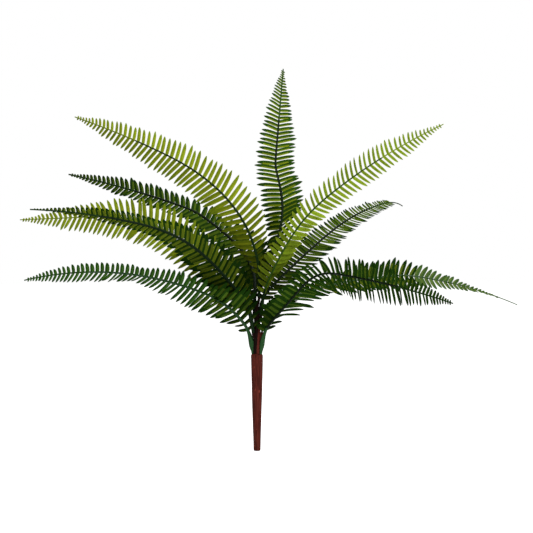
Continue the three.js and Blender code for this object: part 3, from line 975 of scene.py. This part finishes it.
def leaflet_map(piece, points_each):
    """Each leaflet's own map: across from 0 to 1, and along from foot to tip."""
    across = np.tile([0.0, 0.5, 1.0, 0.5], LEAFLET_STEPS)
    along = np.repeat(LEAFLET_STOPS[:-1], 4)
    one = np.column_stack([np.append(across, 0.5), np.append(along, 1.0)])
    corners = np.zeros(len(piece.data.loops), dtype=np.int32)
    piece.data.loops.foreach_get("vertex_index", corners)
    layer = piece.data.uv_layers.new(name=LEAFLET_MAP)
    layer.data.foreach_set("uv", one[corners % points_each].ravel())


class FERN_OT_ribs(bpy.types.Operator):
    """Grow the rib and sheath of every frond"""

    bl_idname = "fern.ribs"
    bl_label = "Ribs and sheaths"

    def execute(self, context):
        sizes, colours = context.scene.fern_frond, context.scene.fern_colours
        sheaths = [
            rib_material("Sheath", colours.sheath),
            rib_material("Upper sheath", colours.upper_sheath),
        ]
        materials = {
            tone: [
                rib_material(f"Rib {tone} {part}", getattr(colours, f"{tone}_{part}"))
                for part in ("rib", "outer")
            ]
            for tone in TONES
        }
        for frond in FRONDS:
            points, faces, slots = rib_tube(frond, sizes)
            sheath = sheaths[frond["seat"][2] > COLLAR_SEAT]
            tone = frond["outer"][0] if "outer" in frond else frond["tone"]
            finishes = [sheath, *materials[tone]]
            piece = mesh_piece("rib_" + frond["name"], points, faces, slots, finishes)
            shade_by_angle(piece, crisp_from=60)
            keep_piece(piece, piece.name)
        return {"FINISHED"}


class FERN_OT_leaflets(bpy.types.Operator):
    """Grow the leaflets of every frond, which stand for its solids"""

    bl_idname = "fern.leaflets"
    bl_label = "Leaflets"

    def execute(self, context):
        sizes, colours = context.scene.fern_frond, context.scene.fern_colours
        rng = np.random.default_rng(SEED)
        # Each leaf colour comes in five shades: the darker ones are painted shade for the crowded heart
        materials = {
            tone: [
                leaf_material(
                    f"Leaf {tone} {part} {number}",
                    [channel * shade for channel in getattr(colours, f"{tone}_{part}")],
                )
                for number, shade in enumerate(LEAF_SHADES)
                for part in ("outer", "inner")
            ]
            for tone in TONES
        }
        for frond in FRONDS:
            points, sides, shares = leaflet_points(frond, sizes, rng)
            # Painted shade: leaflets get darker shades towards the frond's foot, up to where the painted
            # shade of the heart ends, with a random step lighter on top
            light = LIGHT_STEPS * smoothstep(shares, LEAF_FROM, frond.get("painted_shade_end", PAINTED_HEART_SHADE_END))
            light = light + rng.integers(2, size=len(sides))
            shades = np.round(light).astype(int)
            tones = [frond["tone"]]
            if "outer" in frond:
                tone, start = frond["outer"]
                tones.append(tone)
                shades = shades + len(LEAF_SHADES) * (shares > start)
            finishes = [finish for tone in tones for finish in materials[tone]]
            each = points.shape[1]
            faces, slots = [], []
            for number, (side, shade) in enumerate(zip(sides, shades)):
                own_faces, own_slots = leaflet_faces(side, shade)
                faces += [tuple(corner + number * each for corner in face) for face in own_faces]
                slots += own_slots
            name = "leaflets_" + frond["name"]
            piece = mesh_piece(name, points.reshape(-1, 3), faces, slots, finishes)
            leaflet_map(piece, each)
            shade_by_angle(piece, crisp_from=30)
            keep_piece(piece, name, frond["nodes"])
        return {"FINISHED"}


def add_softbox(name, place, aim, size, power):
    """A square area light that faces a point."""
    bpy.ops.object.light_add(type="AREA", location=place)
    lamp = bpy.context.object
    lamp.name = name
    lamp.data.shape = "SQUARE"
    lamp.data.size = size
    lamp.data.energy = power
    lamp.rotation_euler = (Vector(aim) - Vector(place)).to_track_quat("-Z", "Y").to_euler()


def white_room(ambient):
    """A world that the camera sees as plain white and that lights the bush only softly."""
    world = bpy.data.worlds.new("White room")
    world.use_nodes = True
    tree = world.node_tree
    background = tree.nodes["Background"]
    background.inputs["Color"].default_value = (1, 1, 1, 1)
    rays = add_node(tree, "ShaderNodeLightPath")
    strength = calculate(tree, "MULTIPLY_ADD", rays.outputs["Is Camera Ray"], 1 - ambient, ambient)
    tree.links.new(strength, background.inputs["Strength"])
    return world


class FERN_OT_stage(bpy.types.Operator):
    """Set the pale floor, the soft studio lights and the camera"""

    bl_idname = "fern.stage"
    bl_label = "Stage"

    def execute(self, context):
        stage = context.scene.fern_stage
        aim = Vector(stage.aim)
        start_modelling()
        bpy.ops.mesh.primitive_plane_add(size=stage.floor_size)
        floor = context.object
        floor.name = "floor"
        material, tree, shader = new_material("Pale floor", roughness=0.9, specular=0.0)
        shader.inputs["Base Color"].default_value = (*stage.floor_colour, 1)
        shader.inputs["Emission Color"].default_value = (1, 1, 1, 1)
        rays = add_node(tree, "ShaderNodeLightPath")
        tree.links.new(rays.outputs["Is Camera Ray"], shader.inputs["Emission Strength"])
        floor.data.materials.append(material)
        for name, place, side, power in LAMPS:
            add_softbox(name, place, aim, side, getattr(stage, power))
        context.scene.world = white_room(stage.ambient)
        eye = aim - Vector((0, stage.distance, 0))
        bpy.ops.object.camera_add(location=eye, rotation=(math.pi / 2, 0, 0))
        camera = context.object
        camera.data.lens = camera.data.sensor_width * stage.distance / stage.frame_width
        context.scene.camera = camera
        context.scene.view_settings.view_transform = "Standard"
        return {"FINISHED"}


class FERN_PT_panel(bpy.types.Panel):
    """Sizes of the fern bush and the steps that build it"""

    bl_idname = "FERN_PT_panel"
    bl_label = "Artificial fern bush"
    bl_space_type = "VIEW_3D"
    bl_region_type = "UI"
    bl_category = "Fern"

    def draw(self, context):
        for group in SETTINGS:
            settings = getattr(context.scene, group)
            box = self.layout.box()
            for name in settings.bl_rna.properties.keys():
                if name not in ("rna_type", "name"):
                    box.prop(settings, name)
        for operator in OPERATORS:
            self.layout.operator(operator.bl_idname)


SETTINGS = {
    "fern_stem": FernStemSettings,
    "fern_frond": FernFrondSettings,
    "fern_colours": FernLeafColours,
    "fern_stage": FernStageSettings,
}
OPERATORS = (FERN_OT_stem, FERN_OT_core, FERN_OT_ribs, FERN_OT_leaflets, FERN_OT_stage)


def register():
    """Registers the settings, operators and panel."""
    for name, kind in SETTINGS.items():
        bpy.utils.register_class(kind)
        setattr(bpy.types.Scene, name, PointerProperty(type=kind))
    for kind in (*OPERATORS, FERN_PT_panel):
        bpy.utils.register_class(kind)


def unregister():
    """Removes what register added."""
    for kind in (FERN_PT_panel, *reversed(OPERATORS)):
        bpy.utils.unregister_class(kind)
    for name, kind in SETTINGS.items():
        delattr(bpy.types.Scene, name)
        bpy.utils.unregister_class(kind)


def main():
    """Builds the bush and its stage."""
    register()
    bpy.ops.fern.stem()
    bpy.ops.fern.core()
    bpy.ops.fern.ribs()
    bpy.ops.fern.leaflets()
    bpy.ops.fern.stage()


if __name__ == "__main__":
    main()
